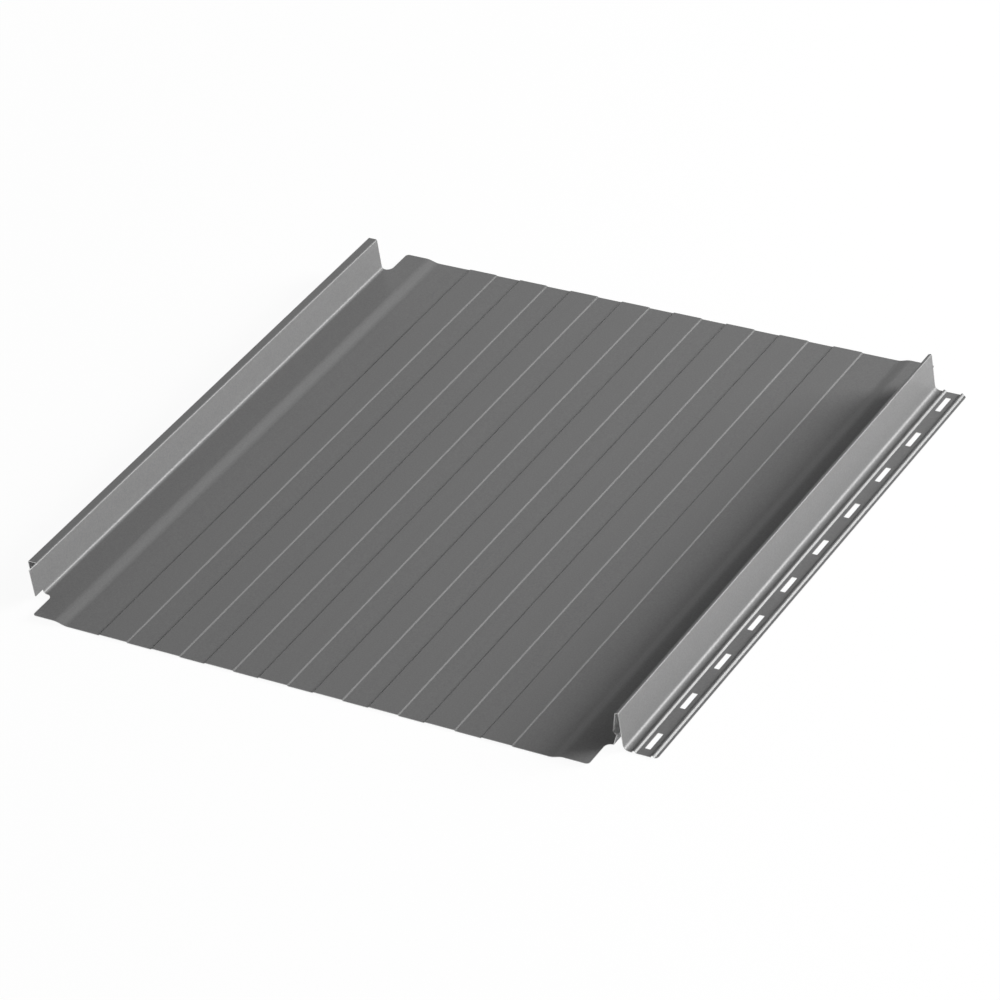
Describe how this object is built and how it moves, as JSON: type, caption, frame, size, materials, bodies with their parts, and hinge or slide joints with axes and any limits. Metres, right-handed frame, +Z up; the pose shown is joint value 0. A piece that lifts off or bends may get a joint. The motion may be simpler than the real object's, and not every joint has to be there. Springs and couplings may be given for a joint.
{
  "type": "standing seam roof panel",
  "caption": "Short length of snap-lock standing seam roof panel: flat pan with micro ribs, female seam on the left, male seam with a slotted nail flange on the right.",
  "frame": {"origin": "middle of the panel's footprint, on the surface that it lies on", "axes": "+X across the panel from the female seam to the nail flange, +Y along the seams from the end with the tab, +Z up from the deck"},
  "size_m": [0.553, 0.536, 0.0333],
  "materials": {
    "coated_steel": "matt dark grey coil coating, smooth with a fine grain"
  },
  "bodies": {
    "root": {"roof_panel": "coated_steel"}
  },
  "joints": []
}
